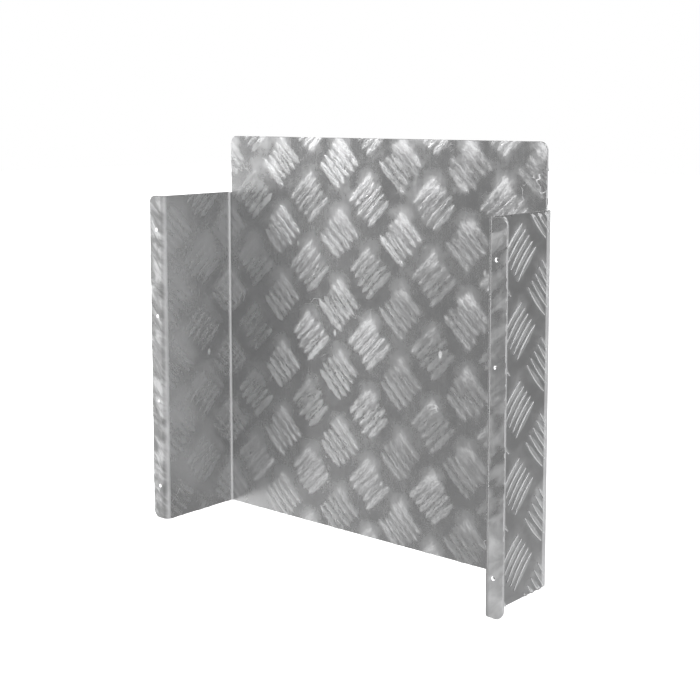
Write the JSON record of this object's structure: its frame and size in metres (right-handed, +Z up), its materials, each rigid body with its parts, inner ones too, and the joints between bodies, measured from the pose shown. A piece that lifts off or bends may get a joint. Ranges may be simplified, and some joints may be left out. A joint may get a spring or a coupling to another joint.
{
  "type": "kick plate",
  "caption": "Folded aluminium tread-plate kick plate with two side returns and drilled fixing flanges, standing off the surface it protects.",
  "frame": {"origin": "middle of the bottom of the whole sheet's box, at the bottom edge", "axes": "+Z up the plate, X across its width, -Y out of the fixing faces of the two flanges towards what it is screwed to, +Y out of the tread side of the plate"},
  "size_m": [0.442, 0.099, 0.4],
  "materials": {
    "tread_plate": "mill-finish rolled aluminium tread plate, bright bars on one side, rubbed marks on the smooth side"
  },
  "bodies": {
    "root": {"tread_plate": "tread_plate"}
  },
  "joints": []
}
